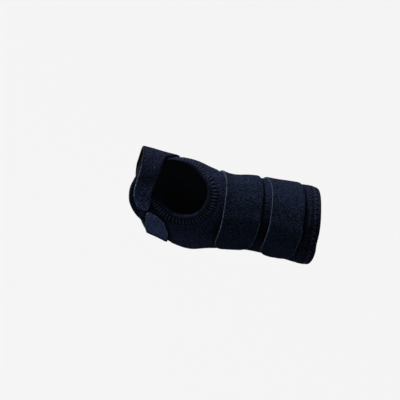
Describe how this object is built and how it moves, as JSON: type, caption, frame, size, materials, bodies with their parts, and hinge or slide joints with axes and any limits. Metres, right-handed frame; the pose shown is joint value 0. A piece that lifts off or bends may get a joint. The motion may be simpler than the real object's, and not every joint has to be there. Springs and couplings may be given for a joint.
{
  "type": "radial wrist splint",
  "caption": "Wrapped padded wrist and thumb-side splint sleeve with a large thumb opening, wrist and forearm straps, and a strap over the back of the hand.",
  "frame": {"origin": "middle of the wrist hollow, where the splint sits on the wrist", "axes": "+X up the arm to the elbow, +Z to the thumb side, -Y to the palm side"},
  "size_m": [0.1883, 0.066, 0.0883],
  "materials": {
    "body_laminate": "navy loop pile, matt",
    "strap_laminate": "navy loop pile, matt, grey-blue cut edges",
    "hook_patch": "black woven hook tape"
  },
  "bodies": {
    "root": {"splint_body": "body_laminate", "wrist_strap": "strap_laminate", "forearm_strap": "strap_laminate", "hand_strap": "strap_laminate", "wrist_hook_patch": "hook_patch", "forearm_hook_patch": "hook_patch", "palm_hook_patch": "hook_patch", "web_hook_patch": "hook_patch"}
  },
  "joints": []
}
